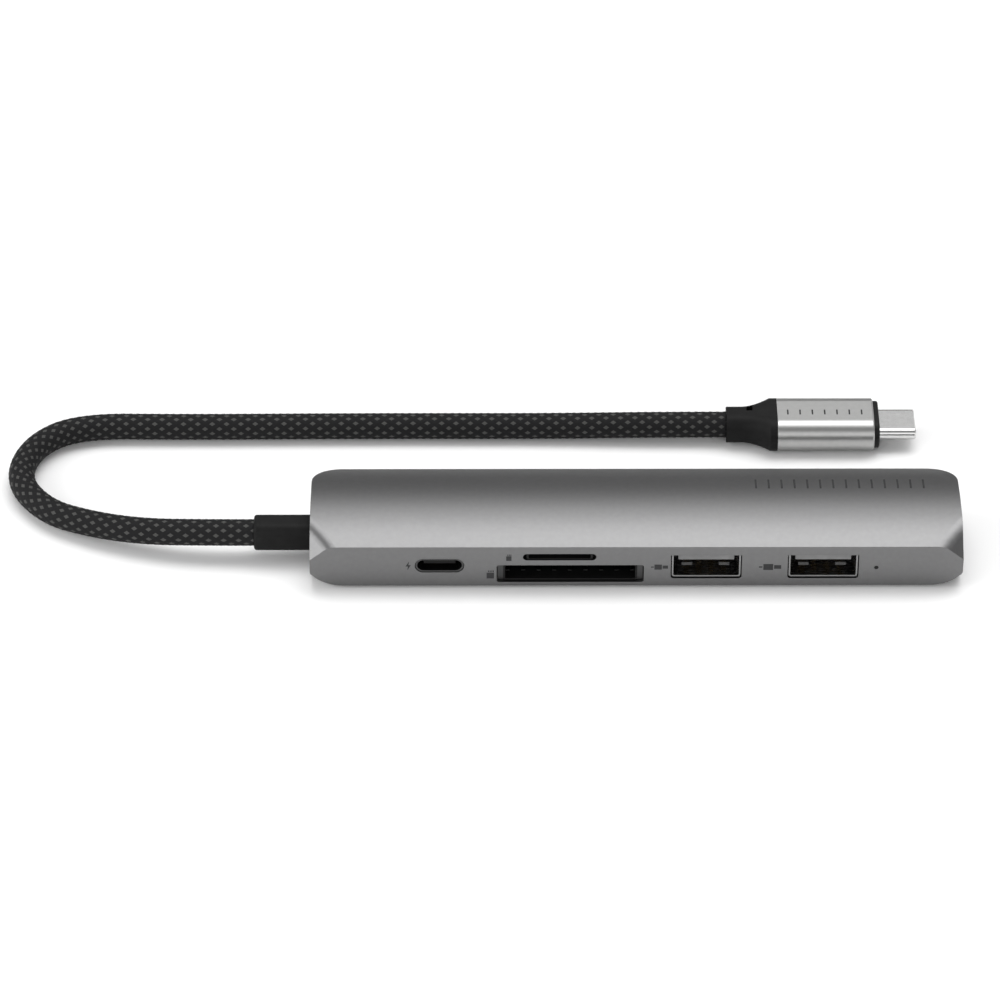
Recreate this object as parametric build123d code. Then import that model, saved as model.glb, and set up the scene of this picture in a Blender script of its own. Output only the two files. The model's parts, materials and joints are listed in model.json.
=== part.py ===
from build123d import *

import os
from math import pi, radians, sqrt, tan

# A slim aluminium hub with a short braided cable and a USB-C plug. Millimetres.
# The origin is under the middle of the housing, on the table. +X runs along the housing towards
# its status light, the ports open towards -Y, and +Z is up.

# Housing
LENGTH = 123.0
WIDTH = 24.7
FOOT_GAP = 0.6                      # the housing's bottom edge stands this far above the table
EAVE = 9.0                          # height of the flat front and back walls
CROWN = 2.0                         # rise of the arched top above the walls
INNER_CROWN = 1.8
WALL = 1.3
END_WALL = 1.6
ROOF = 1.25
FRONT = -WIDTH / 2
FACET_REACH = 3.6                   # where a front corner's facet meets the wall's upper edge
FACET_DROP = 3.05                   # how far down the vertical corner the facet comes
FACET_SOFTNESS = 3.5                # fillet between a facet and the arched top
BACK_CORNER_RADIUS = 5.9            # the two back corners are rounded as seen from above
ROLL_REACH = 6.3                    # the bottom corners roll up over this length of the front edge
ROLL_RISE = 3.2
CAVITY_CHAMFER = 2.5

# Bottom cover, set into a step of the shell
COVER_THICKNESS = 0.8
COVER_STEP = 0.9
COVER_LIP = 0.85                    # shell left standing round the cover
COVER_CHAMFER = 5.2
COVER_GAP = 0.1
COVER_BOSSES = [(x, y) for x in (-56.8, 56.8) for y in (-7.4, 7.4)]
BOSS_RADIUS = 1.9
SCREW_RADIUS = 0.8
HEAD_RADIUS = 1.5
HEAD_DEPTH = 0.5
FOOT_RADIUS = 3.2
FOOT_RECESS = 0.3
FEET = [(x, y) for x in (-50.0, 50.0) for y in (-7.4, 7.4)]

# Main board
BOARD_LOW = 4.8                     # heights like this one are above the housing's bottom edge
BOARD_THICKNESS = 1.0
BOARD_TOP = BOARD_LOW + BOARD_THICKNESS
BOARD_X = (-52.0, 54.5)
BOARD_HALF_WIDTH = 10.3
BOARD_POSTS = [(-48.5, 8.0), (2.5, 8.2), (50.5, 8.0)]
POST_RADIUS = 1.7

CONTROLLER_PLACE = (-0.5, -3.6)
CONTROLLER_SIZE = 9.0
CONTROLLER_THICKNESS = 0.85
CAPACITOR_PITCH = 1.7

# USB-C power port
USB_C_X = -37.05
USB_C_Z = 4.68
USB_C_OPENING = (9.3, 3.2)
USB_C_SHELL = (9.1, 3.1)
USB_C_SKIN = 0.34
USB_C_DEPTH = 7.6
USB_C_TONGUE = (6.0, 0.7)
USB_C_PADS = 12
USB_C_PITCH = 0.47

# Card slots
SD_X = -12.45
SD_OPENING = (27.7, 4.0)
SD_Z = 2.75
SD_MOUTH = 25.2
SD_DEPTH = 17.0
SD_CONTACTS = 9
SD_PITCH = 2.94
MICROSD_X = -14.45
MICROSD_OPENING = (13.8, 1.48)
MICROSD_Z = 6.67
MICROSD_MOUTH = 12.45
MICROSD_DEPTH = 14.0
MICROSD_CONTACTS = 8
MICROSD_PITCH = 1.1

# USB-A ports
USB_A_X = {"left": 13.15, "right": 35.15}
USB_A_OPENING_WIDTH = 13.35
USB_A_OPENING = (1.6, 7.06)
USB_A_SHELL_WIDTH = 12.95
USB_A_SHELL = (1.95, 7.36)
USB_A_SKIN = 0.3
USB_A_DEPTH = 13.4
USB_A_TONGUE_WIDTH = 10.5
USB_A_TONGUE = (5.5, 6.55)
USB_A_TONGUE_SETBACK = 0.8
USB_A_SPRINGS = (-3.5, 3.5)
USB_A_PITCH = 2.3

# Status light
LIGHT_X = 45.15
LIGHT_Z = 4.13
LIGHT_RADIUS = 0.42

# Cable and its sleeve on the housing
CABLE_DIAMETER = 5.1
HUB_BOOT_LENGTH = 10.8
HUB_BOOT_SECTION = (5.9, 5.9)
HUB_BOOT_RADIUS = 1.9
ROUTE = [
    (-LENGTH / 2 - HUB_BOOT_LENGTH, -2.1, 5.4),
    (-82.35, -2.1, 5.4),
    (-93.75, -0.1, 4.15),
    (-103.75, 3.4, 3.25),
    (-112.75, 8.35, 2.6),
    (-118.95, 18.1, 2.6),
    (-116.65, 29.2, 2.6),
    (-108.0, 36.0, 2.6),
    (-87.75, 35.6, 2.6),
    (-51.75, 35.9, 2.6),
    (-15.75, 35.8, 2.6),
    (3.9, 35.2, 3.35),
    (18.55, 35.2, 3.35),
]

# Plug, lying behind the housing with its axis along X
PLUG_Y = 35.2
PLUG_Z = 3.35
PLUG_BOOT_X = (18.55, 28.45)
PLUG_BOOT_SMALL = (7.0, 6.0)
PLUG_BOOT_RADIUS = 2.5
PLUG_BOOT_NECK = 3.0                # straight length before the boot flares
PLUG_BOOT_SHOULDER = 1.4            # straight length at its wide end
PLUG_BOOT_POCKET_X = (22.5, 23.7)   # a small square pocket in the boot's top
PLUG_BOOT_POCKET_Y = (35.7, 37.6)
PLUG_BOOT_POCKET_DEPTH = 1.5
SLEEVE_X = (28.45, 47.25)
SLEEVE_SECTION = (12.6, 6.7)
SLEEVE_RADIUS = 3.2
SLEEVE_SKIN = 0.7
COLLAR_X = (47.25, 48.3)
COLLAR_SECTION = (11.4, 5.7)
COLLAR_RADIUS = 2.7
COLLAR_SOFTNESS = 0.4
PLUG_SHELL_X = (46.25, 55.4)
PLUG_SHELL_SECTION = (8.25, 2.4)
PLUG_SHELL_SKIN = 0.3
PLUG_BOARD_START = 33.0


def height(z):
    """Z of a height measured from the housing's bottom edge."""
    return FOOT_GAP + z


def block(x, y, z):
    """A box between (low, high) pairs along X, Y and Z."""
    size = [high - low for low, high in (x, y, z)]
    middle = [(high + low) / 2 for low, high in (x, y, z)]
    return Pos(*middle) * Box(*size)


def along_x(sketch, low, high):
    """A sketch drawn in Y and Z, extruded from low to high along X."""
    return extrude(Plane.YZ.offset(low) * sketch, amount=high - low)


def along_y(sketch, low, high):
    """A sketch drawn in X and Z, extruded from low to high along Y."""
    return extrude(Plane.XZ.offset(-high) * sketch, amount=high - low)


def upright(x, y, radius, low, high):
    """A vertical cylinder from low to high."""
    return Pos(x, y, (low + high) / 2) * Cylinder(radius, high - low)


def front(setback):
    """Y of a place this far behind the front wall's face."""
    return FRONT + setback


# --- Housing ---------------------------------------------------------------------------------

def crowned_bar(length, width, low, eave, crown):
    """A bar along X with flat sides from low to eave and an arched top."""
    half = width / 2
    walls = Polyline((-half, eave), (-half, low), (half, low), (half, eave))
    arch = ThreePointArc((half, eave), (0, eave + crown), (-half, eave))
    return along_x(make_face(Curve() + [walls, arch]), -length / 2, length / 2)


def housing_plan():
    """The housing seen from above: square front corners and rounded back ones."""
    plan = Rectangle(LENGTH, WIDTH)
    return fillet(plan.vertices().group_by(Axis.Y)[-1], BACK_CORNER_RADIUS)


def front_corners(cutter):
    """A cutter made at the right front corner, repeated at the left one."""
    return [cutter, mirror(cutter, Plane.YZ)]


def four_corners(cutter):
    """A cutter made at the right front corner, repeated at all four corners."""
    pair = front_corners(cutter)
    return pair + [mirror(one, Plane.XZ) for one in pair]


def corner_cutter(outline):
    """A prism across the right front corner. The outline's first coordinate is the distance in
    from the corner along the diagonal and its second is the height."""
    corner = Plane(
        origin=(LENGTH / 2, FRONT, FOOT_GAP),
        x_dir=(-1, 1, 0),
        z_dir=(1, 1, 0),
    )
    return extrude(corner * outline, amount=10, both=True)


def top_facet():
    """What a flat facet takes off a front corner's top."""
    reach = FACET_REACH / sqrt(2)
    slope = FACET_DROP / reach
    foot = EAVE - FACET_DROP
    return Polygon((-3, foot - 3 * slope), (6, foot + 6 * slope), (-3, foot + 6 * slope), align=None)


def bottom_roll():
    """What the rounded roll takes off a bottom corner. It is level where it leaves the bottom."""
    reach = ROLL_REACH / sqrt(2)
    roll = TangentArc((reach, 0), (0, ROLL_RISE), tangent=(-1, 0))
    rest = Polyline((0, ROLL_RISE), (-3, ROLL_RISE), (-3, -1), (reach, -1), (reach, 0))
    return make_face(Curve() + [roll, rest])


def housing_outside():
    """The whole outer form of the housing, solid."""
    form = crowned_bar(LENGTH, WIDTH, FOOT_GAP, height(EAVE), CROWN)
    form &= extrude(housing_plan(), amount=2 * height(EAVE))
    for cutter in front_corners(corner_cutter(top_facet())):
        form -= cutter
    for cutter in four_corners(corner_cutter(bottom_roll())):
        form -= cutter
    creases = []
    for side in (-1, 1):
        near = (side * (LENGTH / 2 - FACET_REACH / 2), front(FACET_REACH / 2), height(EAVE + 0.4))
        creases += form.edges().sort_by_distance(near)[:1]
    return fillet(creases, FACET_SOFTNESS)


def chamfered_prism(length, width, leg, low, high):
    """A box about the origin with its vertical corners cut off."""
    plan = chamfer(Rectangle(length, width).vertices(), leg)
    return extrude(Plane.XY.offset(low) * plan, amount=high - low)


def housing_inside():
    """The hollow that the board sits in, and the step that holds the bottom cover."""
    low = height(COVER_STEP)
    hollow = crowned_bar(LENGTH - 2 * END_WALL, WIDTH - 2 * WALL, low, height(EAVE - ROOF), INNER_CROWN)
    hollow &= chamfered_prism(
        LENGTH - 2 * END_WALL, WIDTH - 2 * WALL, CAVITY_CHAMFER, low, height(EAVE + CROWN)
    )
    step = chamfered_prism(LENGTH - 2 * COVER_LIP, WIDTH - 2 * COVER_LIP, COVER_CHAMFER, 0, low)
    return hollow + step


def port_openings():
    """The cut-outs through the front wall, and the light pipe's hole."""
    low, high = front(-1), front(WALL + 1)
    usb_c_width, usb_c_height = USB_C_OPENING
    usb_c = Pos(USB_C_X, height(USB_C_Z)) * SlotOverall(usb_c_width, usb_c_height)
    microsd = Pos(MICROSD_X, height(MICROSD_Z)) * SlotOverall(*MICROSD_OPENING)
    sd = Pos(SD_X, height(SD_Z)) * RectangleRounded(*SD_OPENING, 0.45)
    cuts = [along_y(sketch, low, high) for sketch in (usb_c, microsd, sd)]
    for x in USB_A_X.values():
        cuts.append(usb_a_section(x, USB_A_OPENING_WIDTH, USB_A_OPENING, 0.6, low, high))
    light = Pos(LIGHT_X, height(LIGHT_Z)) * Circle(LIGHT_RADIUS)
    return cuts + [along_y(light, low, high)]


def usb_a_section(x, width, heights, radius, low, high):
    """A USB-A sized bar along Y, rounded at its two lower edges."""
    base, top = (height(z) for z in heights)
    bar = block((x - width / 2, x + width / 2), (low, high), (base, top))
    lower = bar.edges().filter_by(Axis.Y).group_by(Axis.Z)[0]
    return fillet(lower, radius)


def boot_section(grow=0.0):
    """The hub boot's rounded section in Y and Z."""
    width, tall = (size + grow for size in HUB_BOOT_SECTION)
    _, y, z = ROUTE[0]
    return Pos(y, z) * RectangleRounded(width, tall, HUB_BOOT_RADIUS)


def housing_shell():
    """The aluminium shell: arched top, walls, screw bosses and board posts, in one piece."""
    inside = housing_inside()
    shell = housing_outside() - inside
    stems = Part()
    for x, y in COVER_BOSSES:
        stems += upright(x, y, BOSS_RADIUS, height(COVER_THICKNESS), height(EAVE + 0.3))
        stems -= upright(x, y, SCREW_RADIUS, height(COVER_THICKNESS), height(6.0))
    for x, y in BOARD_POSTS:
        stems += upright(x, y, POST_RADIUS, height(BOARD_TOP), height(EAVE + 0.3))
        stems -= upright(x, y, SCREW_RADIUS, height(BOARD_TOP), height(EAVE - 1.5))
    shell += stems
    for cut in port_openings():
        shell -= cut
    return shell - along_x(boot_section(), -LENGTH / 2 - 1, -LENGTH / 2 + END_WALL + 1)


def bottom_cover():
    """The plate that closes the housing, with recesses for the screws and the feet."""
    plate = chamfered_prism(
        LENGTH - 2 * (COVER_LIP + COVER_GAP),
        WIDTH - 2 * (COVER_LIP + COVER_GAP),
        COVER_CHAMFER,
        height(0),
        height(COVER_THICKNESS),
    )
    for x, y in COVER_BOSSES:
        plate -= upright(x, y, SCREW_RADIUS, height(0), height(COVER_THICKNESS))
        plate -= upright(x, y, HEAD_RADIUS, height(0), height(HEAD_DEPTH))
    for x, y in FEET:
        plate -= upright(x, y, FOOT_RADIUS, height(0), height(FOOT_RECESS))
    return plate


def foot_pads():
    """Four rubber pads let into the cover."""
    pads = [upright(x, y, FOOT_RADIUS, 0, height(FOOT_RECESS)) for x, y in FEET]
    return [chamfer(pad.edges().group_by(Axis.Z)[0], 0.25) for pad in pads]


def screw(x, y, head_low, head_high, tip):
    """A machine screw pointing up, with a cross recess in its head."""
    head = upright(x, y, HEAD_RADIUS, head_low, head_high)
    shank = upright(x, y, SCREW_RADIUS - 0.05, head_high, tip)
    recess = block((x - 0.9, x + 0.9), (y - 0.17, y + 0.17), (head_low, head_low + 0.3))
    recess += block((x - 0.17, x + 0.17), (y - 0.9, y + 0.9), (head_low, head_low + 0.3))
    return head + shank - recess


def cover_screws():
    """The four screws that hold the bottom cover, their heads flush with it."""
    return [screw(x, y, height(0), height(HEAD_DEPTH), height(5.0)) for x, y in COVER_BOSSES]


# --- Board and what is soldered to it ----------------------------------------------------------

def main_board():
    """The circuit board, cut away where the sockets sit through it."""
    low, high = height(BOARD_LOW), height(BOARD_TOP)
    half = BOARD_HALF_WIDTH
    board = block(BOARD_X, (-half, half), (low, high))
    for x in USB_A_X.values():
        room = USB_A_SHELL_WIDTH / 2 + 0.2
        board -= block((x - room, x + room), (-half - 1, front(USB_A_DEPTH) + 0.4), (low, high))
    room = USB_C_SHELL[0] / 2 + 0.2
    board -= block(
        (USB_C_X - room, USB_C_X + room), (-half - 1, front(USB_C_DEPTH) + 0.5), (low, high)
    )
    for x, y in BOARD_POSTS:
        board -= upright(x, y, SCREW_RADIUS, low, high)
    return board


def board_screws():
    """Three screws from below, through the board into the shell's posts."""
    low = height(BOARD_LOW)
    return [screw(x, y, low - 0.7, low, height(EAVE - 1.8)) for x, y in BOARD_POSTS]


def chip(x, y, width, depth, thickness):
    """A chip on top of the board with a chamfered lid and a small pin-one dimple."""
    low = height(BOARD_TOP)
    body = block((x - width / 2, x + width / 2), (y - depth / 2, y + depth / 2), (low, low + thickness))
    body = chamfer(body.edges().group_by(Axis.Z)[-1], 0.1)
    dimple = upright(x - width / 2 + 0.8, y + depth / 2 - 0.8, 0.3, low + thickness - 0.08, low + thickness)
    return body - dimple


def chip_group(places, width, depth, thickness):
    """Parts of one size at several places on top of the board."""
    low = height(BOARD_TOP)
    half_width, half_depth = width / 2, depth / 2
    return [
        block((x - half_width, x + half_width), (y - half_depth, y + half_depth), (low, low + thickness))
        for x, y in places
    ]


def row_of_places(x, y, pitch, count):
    """Places in a row along X, starting at x."""
    return [(x + pitch * i, y) for i in range(count)]


def small_capacitors():
    """Ceramic capacitors in rows round the chips."""
    places = row_of_places(-4.7, 2.6, CAPACITOR_PITCH, 6)
    places += row_of_places(-50.3, -0.6, CAPACITOR_PITCH, 5)
    places += row_of_places(-18.5, 9.6, CAPACITOR_PITCH, 6)
    places += row_of_places(30.0, 3.2, CAPACITOR_PITCH, 5)
    return chip_group(places, 1.0, 0.5, 0.5)


def thermal_pad():
    """The soft pad that carries the hub controller's heat to the roof."""
    x, y = CONTROLLER_PLACE
    half = CONTROLLER_SIZE / 2 - 1
    low = height(BOARD_TOP + CONTROLLER_THICKNESS)
    return block((x - half, x + half), (y - half, y + half), (low, height(8.6)))


# --- USB-C power port --------------------------------------------------------------------------

def usb_c_bar(width, tall, low, high):
    """A bar along Y with the port's rounded-end section."""
    return along_y(Pos(USB_C_X, height(USB_C_Z)) * SlotOverall(width, tall), low, high)


def usb_c_shell():
    """The port's seamless metal shell, closed at the back."""
    width, tall = USB_C_SHELL
    back = front(USB_C_DEPTH)
    outer = usb_c_bar(width, tall, front(0.15), back)
    inner = usb_c_bar(width - 2 * USB_C_SKIN, tall - 2 * USB_C_SKIN, front(0.15), back - 0.25)
    return outer - inner


def usb_c_tongue():
    """The moulded tongue and the block that carries it at the back of the shell."""
    width, tall = USB_C_TONGUE
    z = height(USB_C_Z)
    tongue = block((USB_C_X - width / 2, USB_C_X + width / 2), (front(1.2), front(6)),
                   (z - tall / 2, z + tall / 2))
    shell_width, shell_tall = USB_C_SHELL
    carrier = usb_c_bar(shell_width - 2 * USB_C_SKIN, shell_tall - 2 * USB_C_SKIN,
                        front(5.6), front(USB_C_DEPTH) - 0.25)
    return tongue + carrier


def usb_c_contacts():
    """Two rows of gold contacts, above and below the tongue."""
    tall = USB_C_TONGUE[1] / 2
    z = height(USB_C_Z)
    pads = []
    for i in range(USB_C_PADS):
        x = USB_C_X + USB_C_PITCH * (i - (USB_C_PADS - 1) / 2)
        for low, high in ((z + tall, z + tall + 0.06), (z - tall - 0.06, z - tall)):
            pads.append(block((x - 0.12, x + 0.12), (front(1.7), front(5.6)), (low, high)))
    return pads


# --- Card slots --------------------------------------------------------------------------------

def sd_frame():
    """The card socket's moulded tray, open at the front and the top."""
    outer_half = SD_OPENING[0] / 2 - 0.15
    inner_half = SD_MOUTH / 2 - 0.35
    low, high = height(0.86), height(4.5)
    back = front(SD_DEPTH)
    tray = block((SD_X - outer_half, SD_X + outer_half), (front(WALL + 0.1), back), (low, high))
    nose_half = SD_MOUTH / 2
    tray += block((SD_X - nose_half, SD_X + nose_half), (front(0.6), front(WALL + 0.1)), (low, high))
    pocket = block((SD_X - inner_half, SD_X + inner_half), (front(0), back - 1.2), (low + 0.3, high))
    return tray - pocket


def sd_cover():
    """The stamped cover over the tray, with a flange down each side of the mouth."""
    half = SD_OPENING[0] / 2 - 0.15
    nose_half = SD_MOUTH / 2
    across = (SD_X - half, SD_X + half)
    sheet = block(across, (front(WALL + 0.1), front(SD_DEPTH)), (height(4.5), height(4.7)))
    for side in (-1, 1):
        x = sorted((SD_X + side * nose_half, SD_X + side * half))
        sheet += block(x, (front(0.75), front(WALL + 0.1)), (height(0.86), height(4.65)))
    return sheet + block(across, (front(0.75), front(WALL + 0.1)), (height(4.5), height(4.65)))


def sd_contacts():
    """Nine spring contacts on the tray's floor, their front ends bent up."""
    floor = height(0.86 + 0.3)
    side = Plane.YZ * make_face(
        Polyline(
            (front(12), floor), (front(5.5), floor), (front(3.2), floor + 0.35), (front(2.6), floor + 0.35),
            (front(2.6), floor + 0.5), (front(3.3), floor + 0.5), (front(5.6), floor + 0.15),
            (front(12), floor + 0.15), (front(12), floor),
        )
    )
    contacts = []
    for i in range(SD_CONTACTS):
        x = SD_X + SD_PITCH * (i - (SD_CONTACTS - 1) / 2)
        contacts.append(Pos(x, 0, 0) * extrude(side, amount=0.4, both=True))
    return contacts


def microsd_frame():
    """The small card socket's moulded tray on top of the board."""
    outer_half = MICROSD_OPENING[0] / 2 + 0.3
    low, high = height(BOARD_TOP), height(7.36)
    back = front(MICROSD_DEPTH)
    nose_half = MICROSD_MOUTH / 2
    tray = block((MICROSD_X - outer_half, MICROSD_X + outer_half), (front(WALL + 0.1), back), (low, high))
    tray += block((MICROSD_X - nose_half, MICROSD_X + nose_half), (front(0.3), front(WALL + 0.1)),
                  (height(MICROSD_Z - 0.7), high))
    inner = nose_half - 0.4
    return tray - block((MICROSD_X - inner, MICROSD_X + inner), (front(0), back - 1),
                        (height(MICROSD_Z - 0.5), high))


def microsd_cover():
    """The stamped cover over the small tray."""
    half = MICROSD_OPENING[0] / 2 + 0.3
    y = (front(WALL + 0.1), front(MICROSD_DEPTH))
    return block((MICROSD_X - half, MICROSD_X + half), y, (height(7.36), height(7.5)))


def microsd_contacts():
    """Eight flat contacts on the small tray's floor."""
    floor = height(MICROSD_Z - 0.5)
    contacts = []
    for i in range(MICROSD_CONTACTS):
        x = MICROSD_X + MICROSD_PITCH * (i - (MICROSD_CONTACTS - 1) / 2)
        contacts.append(block((x - 0.3, x + 0.3), (front(5), front(12.5)), (floor, floor + 0.15)))
    return contacts


# --- USB-A ports -------------------------------------------------------------------------------

def usb_a_shell(x):
    """A port's folded metal shell. Its top plate stops behind the wall, and two springs stand up
    from its floor."""
    low, back = front(0.15), front(USB_A_DEPTH)
    base, top = USB_A_SHELL
    skin = USB_A_SKIN
    outer = usb_a_section(x, USB_A_SHELL_WIDTH, USB_A_SHELL, 0.5, low, back)
    inside = (base + skin, top - skin)
    inner = usb_a_section(x, USB_A_SHELL_WIDTH - 2 * skin, inside, 0.25, low - 1, back - skin)
    shell = outer - inner
    half = USB_A_SHELL_WIDTH / 2 + 1
    above_opening = (height(USB_A_OPENING[1] - 0.02), height(top) + 1)
    shell -= block((x - half, x + half), (low - 1, front(WALL)), above_opening)
    floor = height(base + skin)
    for offset in USB_A_SPRINGS:
        tab = Polyline(
            (front(3.2), floor - 0.1), (front(3.7), floor + 0.4), (front(4.3), floor + 0.4),
            (front(8.6), floor), (front(8.6), floor - 0.1), (front(3.2), floor - 0.1),
        )
        shell += Pos(x + offset, 0, 0) * extrude(Plane.YZ * make_face(tab), amount=1.0, both=True)
    return shell


def usb_a_contacts(x):
    """Four gold contacts under the tongue, running back through its carrier."""
    z = height(USB_A_TONGUE[0])
    contacts = []
    for i in range(4):
        middle = x + USB_A_PITCH * (i - 1.5)
        contacts.append(block((middle - 0.5, middle + 0.5), (front(2.2), front(12.6)), (z, z + 0.12)))
    return contacts


def usb_a_tongue(x):
    """The moulded tongue and its carrier at the back of the shell."""
    half = USB_A_TONGUE_WIDTH / 2
    low, high = (height(z) for z in USB_A_TONGUE)
    tongue = block((x - half, x + half), (front(USB_A_TONGUE_SETBACK), front(10)), (low, high))
    base, top = USB_A_SHELL
    room = USB_A_SHELL_WIDTH / 2 - USB_A_SKIN - 0.05
    tongue += block((x - room, x + room), (front(9.6), front(12.8)),
                    (height(base + USB_A_SKIN + 0.05), height(top - USB_A_SKIN - 0.05)))
    for contact in usb_a_contacts(x):
        tongue -= contact
    return tongue


# --- Status light ------------------------------------------------------------------------------

def status_light_pipe():
    """A clear rod from the hole in the front wall back to the light."""
    rod = along_y(Pos(LIGHT_X, height(LIGHT_Z)) * Circle(LIGHT_RADIUS), front(0.05), front(2.6))
    return rod + along_y(Pos(LIGHT_X, height(LIGHT_Z)) * Circle(0.6), front(WALL + 0.1), front(2.6))


def status_led():
    """The light itself, hanging under the board's front edge."""
    return block((LIGHT_X - 0.8, LIGHT_X + 0.8), (front(2.7), front(3.6)), (height(3.4), height(BOARD_LOW)))


# --- Cable entry -------------------------------------------------------------------------------

def cable_boot():
    """The rubber sleeve on the housing's end, with a flange inside the wall."""
    outer_end = -LENGTH / 2 - HUB_BOOT_LENGTH
    inner_end = -LENGTH / 2 + END_WALL + 2.4
    sleeve = along_x(boot_section(), outer_end, inner_end)
    sleeve = fillet(sleeve.edges().group_by(Axis.X)[0], 0.6)
    flange = along_x(boot_section(1.6), -LENGTH / 2 + END_WALL + 0.1, -LENGTH / 2 + END_WALL + 1.3)
    _, y, z = ROUTE[0]
    flange &= block((-LENGTH, 0), (y - 4, y + 4), (height(COVER_THICKNESS + 0.1), z + 3.6))
    return sleeve + flange


def cable_clamp():
    """The moulded block that grips the cores between the sleeve's flange and the board."""
    x = (-LENGTH / 2 + END_WALL + 2.5, BOARD_X[0])
    _, y, z = ROUTE[0]
    saddle = block(x, (y - 3.3, y + 3.3), (height(1.2), z + 2.2))
    return saddle - along_x(Pos(y, z) * Circle(1.7), x[0] - 1, x[1] + 1)


def cable_wires():
    """The cable's cores, from the sleeve through the clamp to the board's end."""
    _, y, z = ROUTE[0]
    start = -LENGTH / 2 + END_WALL + 2.4
    wires = []
    for i in range(4):
        spread = (i - 1.5) * 0.72
        wires.append(along_x(Pos(y + spread, z) * Circle(0.34), start, BOARD_X[0]))
    return wires


def cable_path():
    """The cable's centre line: straight runs joined by tangent arcs as large as the runs allow."""
    points = [Vector(*point) for point in ROUTE]
    runs = [after - before for before, after in zip(points, points[1:])]
    radii = []
    for before, after in zip(runs, runs[1:]):
        turn = radians(before.get_angle(after))
        radii.append(0.45 * min(before.length, after.length) / tan(turn / 2))
    print("cable corner radii:", [round(radius, 1) for radius in radii])
    return FilletPolyline(*points, radius=radii)


def cable():
    """The braided cable, as a plain round tube."""
    path = cable_path()
    tube = sweep((path ^ 0) * Circle(CABLE_DIAMETER / 2), path)
    section = pi * CABLE_DIAMETER**2 / 4
    print(f"cable length {path.length:.1f}, volume over section times length "
          f"{tube.volume / (section * path.length):.4f}")
    return tube


# --- Plug --------------------------------------------------------------------------------------

def plug_section(width, tall, radius):
    """A rounded rectangle in Y and Z about the plug's axis."""
    return Pos(PLUG_Y, PLUG_Z) * RectangleRounded(width, tall, radius)


def plug_boot():
    """The flared rubber boot: a short neck, a concave flare and a short wide shoulder. A small
    square pocket is let into its top."""
    start, end = PLUG_BOOT_X
    small_width, small_tall = PLUG_BOOT_SMALL
    large_width, large_tall = SLEEVE_SECTION
    flare = end - PLUG_BOOT_SHOULDER - start - PLUG_BOOT_NECK
    sections = []
    for i in range(5):
        share = i / 4
        swell = share**1.6
        width = small_width + (large_width - small_width) * swell
        tall = small_tall + (large_tall - small_tall) * swell
        radius = PLUG_BOOT_RADIUS + (SLEEVE_RADIUS - PLUG_BOOT_RADIUS) * share
        x = start + PLUG_BOOT_NECK + flare * share
        sections.append(Plane.YZ.offset(x) * plug_section(width, tall, radius))
    boot = loft(sections)
    boot += along_x(plug_section(small_width, small_tall, PLUG_BOOT_RADIUS), start, start + PLUG_BOOT_NECK)
    boot += along_x(plug_section(large_width, large_tall, SLEEVE_RADIUS), end - PLUG_BOOT_SHOULDER, end)
    top = PLUG_Z + small_tall / 2
    return boot - block(PLUG_BOOT_POCKET_X, PLUG_BOOT_POCKET_Y, (top - PLUG_BOOT_POCKET_DEPTH, top + 1))


def plug_sleeve():
    """The aluminium grip, a rounded tube open at both ends."""
    width, tall = SLEEVE_SECTION
    skin = SLEEVE_SKIN
    outer = along_x(plug_section(width, tall, SLEEVE_RADIUS), *SLEEVE_X)
    outer = chamfer(outer.edges().group_by(Axis.X)[-1], 0.25)
    return outer - along_x(plug_section(width - 2 * skin, tall - 2 * skin, SLEEVE_RADIUS - skin), *SLEEVE_X)


def plug_collar():
    """The black ring between the grip and the connector."""
    ring = along_x(plug_section(*COLLAR_SECTION, COLLAR_RADIUS), *COLLAR_X)
    ring = fillet(ring.edges().group_by(Axis.X)[-1], COLLAR_SOFTNESS)
    width, tall = PLUG_SHELL_SECTION
    return ring - along_x(Pos(PLUG_Y, PLUG_Z) * SlotOverall(width, tall), *COLLAR_X)


def plug_shell():
    """The connector's metal shell, open at the front."""
    width, tall = PLUG_SHELL_SECTION
    skin = PLUG_SHELL_SKIN
    outer = along_x(Pos(PLUG_Y, PLUG_Z) * SlotOverall(width, tall), *PLUG_SHELL_X)
    outer = chamfer(outer.edges().group_by(Axis.X)[-1], 0.22)
    inner = Pos(PLUG_Y, PLUG_Z) * SlotOverall(width - 2 * skin, tall - 2 * skin)
    return outer - along_x(inner, *PLUG_SHELL_X)


def plug_insulator():
    """The moulding inside the connector, with the slot that a port's tongue enters."""
    width, tall = PLUG_SHELL_SECTION
    skin = PLUG_SHELL_SKIN + 0.02
    low, high = PLUG_SHELL_X
    body = along_x(Pos(PLUG_Y, PLUG_Z) * SlotOverall(width - 2 * skin, tall - 2 * skin), low, high - 0.35)
    slot = Pos(PLUG_Y, PLUG_Z) * RectangleRounded(6.9, 1.0, 0.3)
    return body - along_x(slot, high - 6, high)


def plug_contacts():
    """Two rows of gold contacts on the slot's two faces."""
    pads = []
    high = PLUG_SHELL_X[1]
    for i in range(USB_C_PADS):
        y = PLUG_Y + USB_C_PITCH * (i - (USB_C_PADS - 1) / 2)
        for low_z in (PLUG_Z + 0.42, PLUG_Z - 0.5):
            pads.append(block((high - 5.5, high - 1.2), (y - 0.12, y + 0.12), (low_z, low_z + 0.08)))
    return pads


def plug_board():
    """The small board that the cores and the connector are soldered to."""
    half_width, half_thickness = 4.0, 0.4
    return block(
        (PLUG_BOARD_START, PLUG_SHELL_X[0]),
        (PLUG_Y - half_width, PLUG_Y + half_width),
        (PLUG_Z - half_thickness, PLUG_Z + half_thickness),
    )


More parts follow.
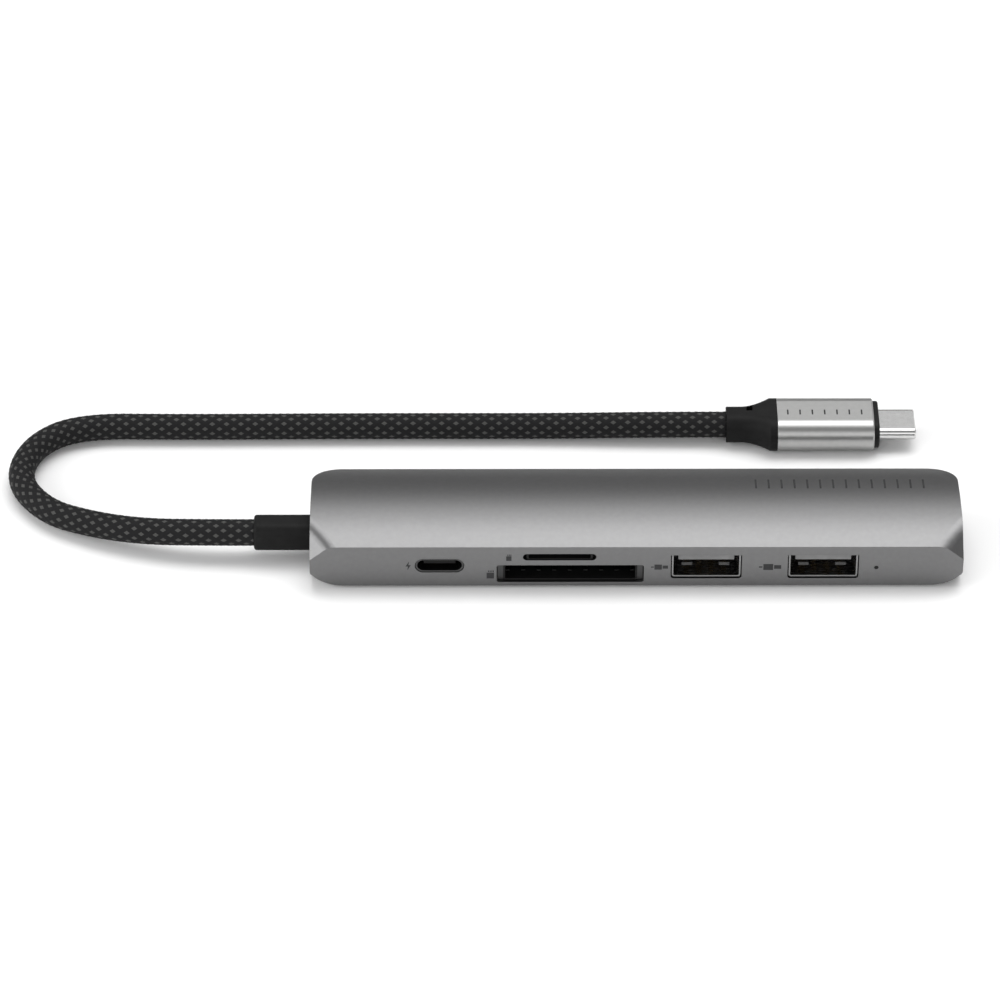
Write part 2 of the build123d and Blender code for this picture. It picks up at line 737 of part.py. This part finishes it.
def plug_inner_mould():
    """The moulding that fills the grip round the board and ties it to the boot."""
    width, tall = SLEEVE_SECTION
    skin = SLEEVE_SKIN + 0.02
    mould = along_x(plug_section(width - 2 * skin, tall - 2 * skin, SLEEVE_RADIUS - skin),
                    SLEEVE_X[0], PLUG_SHELL_X[0])
    return mould - plug_board()


# --- Everything together -------------------------------------------------------------------------

def nodes():
    """Each sub-part by name: a solid, or a list of separate solids that share a node."""
    parts = {
        "housing_shell": housing_shell(),
        "bottom_cover": bottom_cover(),
        "foot_pads": foot_pads(),
        "cover_screws": cover_screws(),
        "main_board": main_board(),
        "board_screws": board_screws(),
        "hub_controller": chip(*CONTROLLER_PLACE, CONTROLLER_SIZE, CONTROLLER_SIZE, CONTROLLER_THICKNESS),
        "power_controller": chip(-46.0, -4.5, 5.0, 5.0, 0.8),
        "card_reader_chip": chip(-14.5, 6.0, 5.0, 5.0, 0.8),
        "firmware_chip": chip(13.0, 6.0, 4.9, 3.9, 1.1),
        "crystal": chip(-5.2, 6.4, 3.2, 2.5, 0.75),
        "power_inductors": chip_group([(-39.0, 4.5), (-33.0, 4.5)], 4.0, 4.0, 2.0),
        "bulk_capacitors": chip_group([(-26.5, 5.5), (24.0, 4.5), (44.5, 1.0)], 2.6, 3.2, 1.6),
        "small_capacitors": small_capacitors(),
        "protection_diodes": chip_group([(-29.5, -8.5), (24.0, -8.5), (45.5, -8.5)], 2.0, 1.0, 0.6),
        "thermal_pad": thermal_pad(),
        "usb_c_shell": usb_c_shell(),
        "usb_c_tongue": usb_c_tongue(),
        "usb_c_contacts": usb_c_contacts(),
        "sd_frame": sd_frame(),
        "sd_cover": sd_cover(),
        "sd_contacts": sd_contacts(),
        "microsd_frame": microsd_frame(),
        "microsd_cover": microsd_cover(),
        "microsd_contacts": microsd_contacts(),
        "status_light_pipe": status_light_pipe(),
        "status_led": status_led(),
        "cable_boot": cable_boot(),
        "cable_clamp": cable_clamp(),
        "cable_wires": cable_wires(),
        "cable": cable(),
        "plug_boot": plug_boot(),
        "plug_sleeve": plug_sleeve(),
        "plug_collar": plug_collar(),
        "plug_shell": plug_shell(),
        "plug_insulator": plug_insulator(),
        "plug_contacts": plug_contacts(),
        "plug_board": plug_board(),
        "plug_inner_mould": plug_inner_mould(),
    }
    for side, x in USB_A_X.items():
        parts[f"usb_a_{side}_shell"] = usb_a_shell(x)
        parts[f"usb_a_{side}_tongue"] = usb_a_tongue(x)
        parts[f"usb_a_{side}_contacts"] = usb_a_contacts(x)
    return parts


os.makedirs("parts", exist_ok=True)
for name, shape in nodes().items():
    if isinstance(shape, list):
        shape = Compound(children=shape)
    shape.label = name
    export_step(shape, f"parts/{name}.step")
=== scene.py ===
import json
from bisect import bisect_right
from math import cos, pi, radians, sin, sqrt, tau

import bpy
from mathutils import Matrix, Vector


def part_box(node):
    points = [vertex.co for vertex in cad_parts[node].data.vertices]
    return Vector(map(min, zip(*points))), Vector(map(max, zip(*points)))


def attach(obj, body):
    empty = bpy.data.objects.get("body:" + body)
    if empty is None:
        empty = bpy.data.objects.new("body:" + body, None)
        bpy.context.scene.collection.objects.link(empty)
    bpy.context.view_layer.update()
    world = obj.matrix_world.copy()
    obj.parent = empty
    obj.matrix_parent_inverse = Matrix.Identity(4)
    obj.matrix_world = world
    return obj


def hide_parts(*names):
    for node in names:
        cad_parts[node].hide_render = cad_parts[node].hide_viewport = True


# A slim aluminium hub with a short braided cable and a USB-C plug, on a white table. Metres.
# +X runs along the housing towards its status light, the ports open towards -Y, and +Z is up.

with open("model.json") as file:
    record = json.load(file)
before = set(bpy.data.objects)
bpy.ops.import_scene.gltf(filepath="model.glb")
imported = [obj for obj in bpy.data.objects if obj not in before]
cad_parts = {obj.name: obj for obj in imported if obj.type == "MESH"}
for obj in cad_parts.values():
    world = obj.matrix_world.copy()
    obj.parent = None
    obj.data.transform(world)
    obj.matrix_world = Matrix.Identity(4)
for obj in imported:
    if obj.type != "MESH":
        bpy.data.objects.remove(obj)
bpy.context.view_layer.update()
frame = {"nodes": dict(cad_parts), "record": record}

# Cable: the same route as in part.py, from the hub's rubber sleeve to the plug's
CABLE_DIAMETER = 0.0051
ROUTE = [
    (-0.07230, -0.00210, 0.00540),
    (-0.08235, -0.00210, 0.00540),
    (-0.09375, -0.00010, 0.00415),
    (-0.10375, 0.00340, 0.00325),
    (-0.11275, 0.00835, 0.00260),
    (-0.11895, 0.01810, 0.00260),
    (-0.11665, 0.02920, 0.00260),
    (-0.10800, 0.03600, 0.00260),
    (-0.08775, 0.03560, 0.00260),
    (-0.05175, 0.03590, 0.00260),
    (-0.01575, 0.03580, 0.00260),
    (0.00390, 0.03520, 0.00335),
    (0.01855, 0.03520, 0.00335),
]

# Braid: grey flecks sit where every second strand of one hand crosses every second of the other
FLECK_PITCH = 0.0028               # along the cable, between flecks in one row
FLECK_TURNS = 8                    # half the number of fleck rows round the cable
BRAID_RELIEF = 0.00013             # how far the crossings stand above the gaps between them
STRAND_DIP = 0.45                  # how much of that relief a strand loses along its own hand
FLECK_EDGE = (0.21, 0.26)          # how far from its middle a fleck's edge is, in strands
AROUND = 64                        # vertices in each ring of the tube
RING_STEP = FLECK_PITCH / 16

# Light. Turns are degrees up from the horizon behind the object, so 90 is overhead.
AMBIENT = 0.24
OVERHEAD = 4.6
OVERHEAD_BACK = (29, 76)           # turns where the strip overhead begins and is full
OVERHEAD_FRONT = (70, 100)         # turns where it starts to fade and is gone
OVERHEAD_LEFT = (-0.70, -0.05)     # where it begins and is full, from -1 far left to 1 far right
OVERHEAD_RIGHT = (0.30, 1.05)      # where it starts to fade and would be gone
LEFT_BOX = 3.2
LEFT_BOX_TOWARDS = (-0.90, -0.10, 0.40)
LEFT_BOX_EDGE = (0.88, 0.96)       # how closely a direction points to it, where it begins and is full
FRONT_FILL = 1.3                   # pale light from the front, low above the horizon
FRONT_FILL_TURNS = (125, 150)      # turns where it begins and is full
FLOOR_WHITE = 0.92
FLOOR_HALF = 3.0

# Printed marks
INK_PROUD = 0.00001                # how far the ink stands off the metal
INK_SUNK = 0.00002


# --- Camera, floor and light ---------------------------------------------------------------------

def place_camera():
    """A long lens about a metre away, looking down on the port side at 37 degrees."""
    data = bpy.data.cameras.new("camera")
    data.sensor_width = 36
    data.lens = 190.8
    camera = bpy.data.objects.new("camera", data)
    camera.location = (-0.02565, -0.8012, 0.6152)
    camera.rotation_euler = (radians(53), radians(0.056), radians(-0.042))
    bpy.context.scene.collection.objects.link(camera)
    bpy.context.scene.camera = camera


def add_object(name, mesh):
    """A new object holding the mesh, in the scene."""
    made = bpy.data.objects.new(name, mesh)
    bpy.context.scene.collection.objects.link(made)
    return made


def link_input(tree, node, name, value):
    """Sets a node's input: another node's output is linked, and a plain value is set."""
    if isinstance(value, bpy.types.NodeSocket):
        tree.links.new(value, node.inputs[name])
    else:
        node.inputs[name].default_value = value


def add_node(tree, kind, inputs=(), **settings):
    """A node of that kind, with its settings and (input, value) pairs."""
    node = tree.nodes.new(kind)
    for name, value in settings.items():
        setattr(node, name, value)
    for name, value in inputs:
        link_input(tree, node, name, value)
    return node


def math(tree, operation, *values):
    """The output of a Math node."""
    return add_node(tree, "ShaderNodeMath", enumerate(values), operation=operation).outputs[0]


def ramp(tree, value, start, end, low=0.0, high=1.0, smooth=True):
    """low to high as value goes from start to end, and flat outside them."""
    node = add_node(
        tree,
        "ShaderNodeMapRange",
        [("Value", value), ("From Min", start), ("From Max", end), ("To Min", low), ("To Max", high)],
        interpolation_type="SMOOTHSTEP" if smooth else "LINEAR",
    )
    return node.outputs[0]


def facing(tree, direction, axis):
    """How closely a direction points along an axis, from -1 to 1."""
    axis = Vector(axis).normalized()
    inputs = [(0, direction), (1, axis)]
    return add_node(tree, "ShaderNodeVectorMath", inputs, operation="DOT_PRODUCT").outputs["Value"]


def light_room():
    """A dim grey room with a wide strip of light overhead, brightest a little behind the zenith,
    a low box of light on the left and a pale fill from the front. All fade at their edges."""
    world = bpy.data.worlds.new("room")
    world.use_nodes = True
    bpy.context.scene.world = world
    tree = world.node_tree
    direction = add_node(tree, "ShaderNodeTexCoord").outputs["Generated"]
    sideways = facing(tree, direction, (1, 0, 0))
    behind = facing(tree, direction, (0, 1, 0))
    above = facing(tree, direction, (0, 0, 1))
    turn = math(tree, "ARCTAN2", above, behind)
    back_start, back_full = (radians(angle) for angle in OVERHEAD_BACK)
    front_full, front_end = (radians(angle) for angle in OVERHEAD_FRONT)
    strip = ramp(tree, turn, back_start, back_full, high=OVERHEAD)
    fades = [
        ramp(tree, turn, front_end, front_full),
        ramp(tree, sideways, *OVERHEAD_LEFT),
        ramp(tree, sideways, *reversed(OVERHEAD_RIGHT)),
    ]
    for fade in fades:
        strip = math(tree, "MULTIPLY", strip, fade)
    box = ramp(tree, facing(tree, direction, LEFT_BOX_TOWARDS), *LEFT_BOX_EDGE, high=LEFT_BOX)
    fill = ramp(tree, turn, *(radians(angle) for angle in FRONT_FILL_TURNS), high=FRONT_FILL)
    total = AMBIENT
    for light in (strip, box, fill):
        total = math(tree, "ADD", light, total)
    room = tree.nodes["Background"]
    link_input(tree, room, "Color", (1, 1, 1, 1))
    link_input(tree, room, "Strength", total)
    bpy.context.scene.view_settings.view_transform = "Standard"


def lay_floor():
    """A plain white table top, much wider than the view."""
    half = FLOOR_HALF
    corners = [(-half, -half, 0), (half, -half, 0), (half, half, 0), (-half, half, 0)]
    mesh = bpy.data.meshes.new("floor")
    mesh.from_pydata(corners, [], [(0, 1, 2, 3)])
    surface = Surface("floor_white", (FLOOR_WHITE,) * 3, 0.9)
    surface.set("Specular IOR Level", 0.0)
    mesh.materials.append(surface.material)
    add_object("floor", mesh)


# --- Materials -----------------------------------------------------------------------------------

class Surface:
    """A material being made: a Principled shader and short ways to feed it."""

    def __init__(self, name, colour, roughness, metallic=0.0):
        self.material = bpy.data.materials.new(name)
        self.material.use_nodes = True
        self.tree = self.material.node_tree
        self.shader = self.tree.nodes["Principled BSDF"]
        self.colour = colour
        self.set("Base Color", (*colour, 1))
        self.set("Roughness", roughness)
        self.set("Metallic", metallic)
        self.place = add_node(self.tree, "ShaderNodeTexCoord").outputs["Object"]

    def set(self, name, value):
        link_input(self.tree, self.shader, name, value)

    def noise(self, size, detail=2.0, stretch=(1, 1, 1)):
        """Noise whose features are about size metres across, drawn out by stretch."""
        scale = [1 / (size * s) for s in stretch]
        inputs = [(0, self.place), (1, scale)]
        spread = add_node(self.tree, "ShaderNodeVectorMath", inputs, operation="MULTIPLY").outputs[0]
        inputs = [("Vector", spread), ("Scale", 1.0), ("Detail", detail)]
        return add_node(self.tree, "ShaderNodeTexNoise", inputs).outputs["Fac"]

    def shade(self, value, low, high):
        """The colour times low to high, as value goes from 0.3 to 0.7."""
        factor = ramp(self.tree, value, 0.3, 0.7, smooth=False)
        self.mix(factor, [c * low for c in self.colour], [c * high for c in self.colour])

    def mix(self, factor, first, second):
        """The base colour goes from first to second with factor."""
        # Inputs 6 and 7 and output 2 are the Mix node's colours
        node = add_node(self.tree, "ShaderNodeMix", [("Factor", factor)], data_type="RGBA")
        node.inputs[6].default_value = (*first, 1)
        node.inputs[7].default_value = (*second, 1)
        self.set("Base Color", node.outputs[2])

    def vary_roughness(self, value, low, high):
        self.set("Roughness", ramp(self.tree, value, 0.3, 0.7, low, high, smooth=False))

    def bump(self, value, distance, strength=1.0, round_edges=0.0):
        """Relief of that depth, over edges that look rounded to a radius."""
        inputs = [("Height", value), ("Distance", distance), ("Strength", strength)]
        if round_edges:
            bevel = add_node(self.tree, "ShaderNodeBevel", [("Radius", round_edges)], samples=6)
            inputs.append(("Normal", bevel.outputs[0]))
        self.set("Normal", add_node(self.tree, "ShaderNodeBump", inputs).outputs[0])


def blasted_metal(name, colour, roughness, grain=0.00012, edge=0.00012):
    """Bead blasted and anodised metal: a fine even grain."""
    surface = Surface(name, colour, roughness, 1.0)
    grains = surface.noise(grain, 3)
    surface.shade(surface.noise(grain * 8, 4), 0.97, 1.03)
    surface.vary_roughness(grains, roughness - 0.03, roughness + 0.03)
    surface.bump(grains, 0.000002, 0.6, edge)
    return surface.material


def plated_metal(name, colour, roughness, edge=0.00006):
    """Smooth plated metal with faint rolling lines along X."""
    surface = Surface(name, colour, roughness, 1.0)
    lines = surface.noise(0.00008, 3, (40, 1, 1))
    surface.vary_roughness(lines, roughness * 0.9, roughness * 1.12)
    surface.shade(surface.noise(0.0012, 4), 0.96, 1.03)
    surface.bump(lines, 0.0000003, 0.3, edge)
    return surface.material


def moulded(name, colour, roughness, texture=0.00015, depth=0.000004, edge=0.00015, shine=0.5):
    """Moulded plastic or rubber with a fine spark-eroded texture."""
    surface = Surface(name, colour, roughness)
    surface.set("Specular IOR Level", shine)
    pits = surface.noise(texture, 3)
    surface.shade(surface.noise(texture * 12, 3), 0.85, 1.15)
    surface.vary_roughness(pits, roughness - 0.06, roughness + 0.06)
    surface.bump(pits, depth, 0.8, edge)
    return surface.material


def circuit_board(name, colour):
    """Solder mask over straight copper tracks, which show as paler lines that stand up a little."""
    surface = Surface(name, colour, 0.35)
    track_pitch = 0.0009
    scale = [1 / track_pitch] * 3
    inputs = [(0, surface.place), (1, scale)]
    place = add_node(surface.tree, "ShaderNodeVectorMath", inputs, operation="MULTIPLY").outputs[0]
    inputs = [("Vector", place), ("Scale", 1.0), ("Mortar Size", 0.09), ("Row Height", 0.5)]
    tracks = add_node(surface.tree, "ShaderNodeTexBrick", inputs, offset=0.37).outputs["Fac"]
    surface.mix(tracks, colour, [c * 1.8 for c in colour])
    surface.bump(tracks, 0.00002)
    return surface.material


def braid(name):
    """Black woven yarn with grey flecks. The UV map gives the place along and round the cable."""
    yarn, fleck_yarn = (0.011, 0.011, 0.0115), (0.062, 0.062, 0.060)
    surface = Surface(name, yarn, 0.7)
    tree = surface.tree
    uv = add_node(tree, "ShaderNodeSeparateXYZ", [(0, add_node(tree, "ShaderNodeTexCoord").outputs["UV"])])
    along, round_ = uv.outputs[0], uv.outputs[1]
    hands = [math(tree, "ADD", along, round_), math(tree, "SUBTRACT", along, round_)]
    off_centre = [math(tree, "PINGPONG", hand, 0.5) for hand in hands]
    farthest = math(tree, "MAXIMUM", *off_centre)
    fibres = surface.noise(0.00009, 4)
    edge = math(tree, "ADD", farthest, math(tree, "MULTIPLY", fibres, 0.05))
    fleck = ramp(tree, edge, *FLECK_EDGE, 1.0, 0.0)
    surface.mix(fleck, yarn, fleck_yarn)
    surface.bump(fibres, 0.00003, 0.8)
    surface.set("Specular IOR Level", 0.12)
    return surface.material


def clear_plastic(name):
    """Smoked plastic, nearly black while the light behind it is off."""
    surface = Surface(name, (0.004, 0.004, 0.004), 0.3)
    surface.vary_roughness(surface.noise(0.0002), 0.25, 0.35)
    surface.set("Specular IOR Level", 0.2)
    return surface.material


def finishes():
    """A material for each slot of the record."""
    return {
        "space_grey_aluminium": blasted_metal("space_grey_aluminium", (0.170, 0.170, 0.171), 0.36),
        "cover_aluminium": blasted_metal("cover_aluminium", (0.165, 0.165, 0.167), 0.40),
        "sleeve_aluminium": blasted_metal("sleeve_aluminium", (0.42, 0.42, 0.415), 0.35),
        "foot_rubber": moulded("foot_rubber", (0.03, 0.03, 0.03), 0.8, shine=0.2),
        "boot_rubber": moulded("boot_rubber", (0.009, 0.009, 0.009), 0.55, shine=0.1),
        "screw_steel": plated_metal("screw_steel", (0.10, 0.10, 0.10), 0.35),
        "board": circuit_board("board", (0.006, 0.03, 0.014)),
        "chip_black": moulded("chip_black", (0.02, 0.02, 0.02), 0.5),
        "crystal_can": plated_metal("crystal_can", (0.6, 0.59, 0.56), 0.25),
        "inductor_grey": moulded("inductor_grey", (0.07, 0.07, 0.075), 0.5),
        "capacitor_tan": moulded("capacitor_tan", (0.30, 0.20, 0.11), 0.4),
        "thermal_silicone": moulded("thermal_silicone", (0.25, 0.32, 0.45), 0.7),
        "port_steel": plated_metal("port_steel", (0.25, 0.25, 0.25), 0.26),
        "socket_steel": plated_metal("socket_steel", (0.075, 0.075, 0.075), 0.38),
        "socket_black": moulded("socket_black", (0.006, 0.006, 0.006), 0.5, shine=0.2),
        "contact_steel": plated_metal("contact_steel", (0.10, 0.10, 0.10), 0.3),
        "contact_gold": plated_metal("contact_gold", (0.75, 0.53, 0.22), 0.22),
        "tongue_grey": moulded("tongue_grey", (0.16, 0.16, 0.16), 0.45),
        "light_pipe": clear_plastic("light_pipe"),
        "wire_pvc": moulded("wire_pvc", (0.03, 0.03, 0.03), 0.4),
        "braid": braid("braid"),
        "collar_black": moulded("collar_black", (0.009, 0.009, 0.009), 0.45, shine=0.12),
        "plug_nickel": plated_metal("plug_nickel", (0.66, 0.66, 0.655), 0.24),
    }


def paint_nodes(looks):
    """Gives each CAD node its slot's material."""
    for part in frame["record"]["subparts"]:
        mesh = frame["nodes"][part["node"]].data
        mesh.materials.clear()
        mesh.materials.append(looks[part["material_slot"]])


# --- Cable ---------------------------------------------------------------------------------------

def route_line():
    """Points along the cable's centre line, read from one smooth NURBS spline."""
    curve = bpy.data.curves.new("route", "CURVE")
    curve.dimensions = "3D"
    spline = curve.splines.new("NURBS")
    spline.points.add(len(ROUTE) - 1)
    for point, place in zip(spline.points, ROUTE):
        point.co = (*place, 1)
    spline.order_u = 3
    spline.use_endpoint_u = True
    spline.resolution_u = 60
    route = add_object("route", curve)
    bpy.context.view_layer.update()
    line = bpy.data.meshes.new_from_object(route)
    points = [vertex.co.copy() for vertex in line.vertices]
    bpy.data.objects.remove(route)
    return points


def evenly_spaced(points, step):
    """The line again, as points a step apart, with the distance along it of each."""
    travelled = [0.0]
    for before, after in zip(points, points[1:]):
        travelled.append(travelled[-1] + (after - before).length)
    count = round(travelled[-1] / step)
    spaced = []
    for i in range(count + 1):
        distance = travelled[-1] * i / count
        k = min(bisect_right(travelled, distance), len(points) - 1)
        share = (distance - travelled[k - 1]) / (travelled[k] - travelled[k - 1])
        spaced.append((points[k - 1].lerp(points[k], share), distance))
    return spaced


def weave_height(along, round_):
    """Height of the weave, 0 to 1, at a place given in flecks along and round the cable. Each
    crossing is a small pillow, and the strand on top runs out further along its own hand."""
    first, second = 2 * (along + round_), 2 * (along - round_)
    across, length = first - round(first), second - round(second)
    if (round(first) + round(second)) % 2:
        across, length = length, across
    pillow = sqrt(max(0.0, cos(pi * across)))
    return pillow * (1 - STRAND_DIP + STRAND_DIP * cos(pi * length))


def tube_rings(line):
    """The braided tube's vertices, ring by ring, in a frame that doesn't twist."""
    side = Vector((0, 0, 1))
    vertices = []
    for i, (centre, distance) in enumerate(line):
        ahead = line[min(i + 1, len(line) - 1)][0] - line[max(i - 1, 0)][0]
        ahead.normalize()
        side = (side - ahead * side.dot(ahead)).normalized()
        other = ahead.cross(side)
        for k in range(AROUND):
            angle = tau * k / AROUND
            height = weave_height(distance / FLECK_PITCH, FLECK_TURNS * k / AROUND)
            radius = CABLE_DIAMETER / 2 - BRAID_RELIEF * (1 - height)
            vertices.append(centre + (side * cos(angle) + other * sin(angle)) * radius)
    return vertices


def braided_cable(look):
    """The cable as a woven tube along its route."""
    points = route_line()
    line = evenly_spaced(points, RING_STEP)
    faces, places = [], []
    for i in range(len(line) - 1):
        for k in range(AROUND):
            after = (k + 1) % AROUND
            ring, beyond = i * AROUND, (i + 1) * AROUND
            faces.append((ring + k, ring + after, beyond + after, beyond + k))
            for step_along, step_round in ((0, 0), (0, 1), (1, 1), (1, 0)):
                distance = line[i + step_along][1] / FLECK_PITCH
                places += [distance, FLECK_TURNS * (k + step_round) / AROUND]
    last = (len(line) - 1) * AROUND
    for end in (range(AROUND - 1, -1, -1), range(last, last + AROUND)):
        faces.append(tuple(end))
        places += [0.5, 0.0] * AROUND
    mesh = bpy.data.meshes.new("braided_cable")
    mesh.from_pydata(tube_rings(line), [], faces)
    mesh.uv_layers.new(name="weave").data.foreach_set("uv", places)
    mesh.shade_smooth()
    mesh.materials.append(look)
    cable = add_object("braided_cable", mesh)
    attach(cable, "root")
    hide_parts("cable")


# --- Printed marks -------------------------------------------------------------------------------

def mounts():
    """Where each port is, by its mount's name."""
    return {mount["name"]: Vector(mount["pos_m"]) for mount in frame["record"]["mounts"]}


def printed(name, outlines, normal, look):
    """Thin plates of ink, one for each outline of points on a surface that faces along normal.
    The record has no slot for ink, so the ink is a material of its own."""
    vertices, faces = [], []
    for outline in outlines:
        first, count = len(vertices), len(outline)
        vertices += [point + normal * INK_PROUD for point in outline]
        vertices += [point - normal * INK_SUNK for point in outline]
        faces.append(tuple(range(first, first + count)))
        for i in range(count):
            after = (i + 1) % count
            faces.append((first + after, first + i, first + count + i, first + count + after))
    mesh = bpy.data.meshes.new(name)
    mesh.from_pydata(vertices, [], faces)
    mesh.materials.append(look)
    piece = add_object(name, mesh)
    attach(piece, "root")


def bar(x, z, width, tall):
    """A rectangle's corners about a place."""
    left, right, low, high = x - width / 2, x + width / 2, z - tall / 2, z + tall / 2
    return [(left, low), (right, low), (right, high), (left, high)]


def bolt():
    """A lightning bolt, 2.1 mm tall. Symbols are in millimetres about their own middle."""
    return [[(-0.15, -1.05), (0.50, 0.20), (0.06, 0.16), (0.18, 1.05), (-0.50, -0.16), (-0.06, -0.16)]]


def card(width, tall):
    """A memory card with one corner cut away, and the gaps between its contacts."""
    right, top = width / 2, tall / 2
    body = [(-right, -top), (right, -top), (right, top * 0.45), (-right, top * 0.45)]
    contacts = [bar(right - width * (0.12 + 0.29 * i), top * 0.8, width * 0.17, tall * 0.2) for i in range(3)]
    return [body] + contacts


def plug(width, tall):
    """A plug seen from the side: its grip, its blade and its lead."""
    return [
        bar(-width * 0.08, 0, width * 0.44, tall),
        bar(width * 0.34, 0, width * 0.32, tall * 0.62),
        bar(-width * 0.42, 0, width * 0.16, tall * 0.22),
    ]


def front_marks(look):
    """The symbols on the front wall, each beside its port. Offsets and sizes are in millimetres."""
    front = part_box("housing_shell")[0][1]
    places = mounts()
    symbols = [
        ("usb_c_power_port", (-5.90, 0.0), bolt()),
        ("sd_slot", (-15.05, -0.15), card(1.4, 1.9)),
        ("microsd_slot", (-9.55, -0.1), card(1.0, 1.5)),
        ("usb_a_left_port", (-8.80, 0.0), plug(3.2, 1.2)),
        ("usb_a_right_port", (-10.0, 0.0), plug(4.2, 1.4)),
    ]
    outlines = []
    for port, (x_offset, z_offset), shapes in symbols:
        place = places[port]
        for shape in shapes:
            outlines.append([
                Vector((place.x + (x + x_offset) / 1000, front, place.z + (z + z_offset) / 1000))
                for x, z in shape
            ])
    printed("front_marks", outlines, Vector((0, -1, 0)), look)


def top_of(node, x, y):
    """The point on a node's upper surface at a place seen from above."""
    _, place, _, _ = frame["nodes"][node].ray_cast((x, y, 1), (0, 0, -1))
    return place


def tick_row(name, node, look, middle, pitch, count, width, length, pieces):
    """A row of plain ticks along X on top of a node. Each lies along Y, in pieces that follow an
    arched surface."""
    outlines = []
    step = length / pieces
    for i in range(count):
        left = middle[0] + pitch * (i - (count - 1) / 2) - width / 2
        for k in range(pieces):
            near = middle[1] - length / 2 + step * k
            corners = ((left, near), (left + width, near), (left + width, near + step), (left, near + step))
            outlines.append([top_of(node, x, y) for x, y in corners])
    printed(name, outlines, Vector((0, 0, 1)), look)


# --- Everything together -------------------------------------------------------------------------

looks = finishes()
ink = moulded("ink", (0.028, 0.028, 0.029), 0.6, shine=0.2)
place_camera()
light_room()
lay_floor()
paint_nodes(looks)
braided_cable(looks["braid"])
front_marks(ink)
tick_row(
    "housing_ticks", "housing_shell", ink, middle=(0.0389, 0.0053),
    pitch=0.00245, count=14, width=0.00036, length=0.0034, pieces=3,
)
tick_row(
    "sleeve_ticks", "plug_sleeve", ink, middle=(0.0377, 0.0347),
    pitch=0.0024, count=7, width=0.0003, length=0.0016, pieces=1,
)
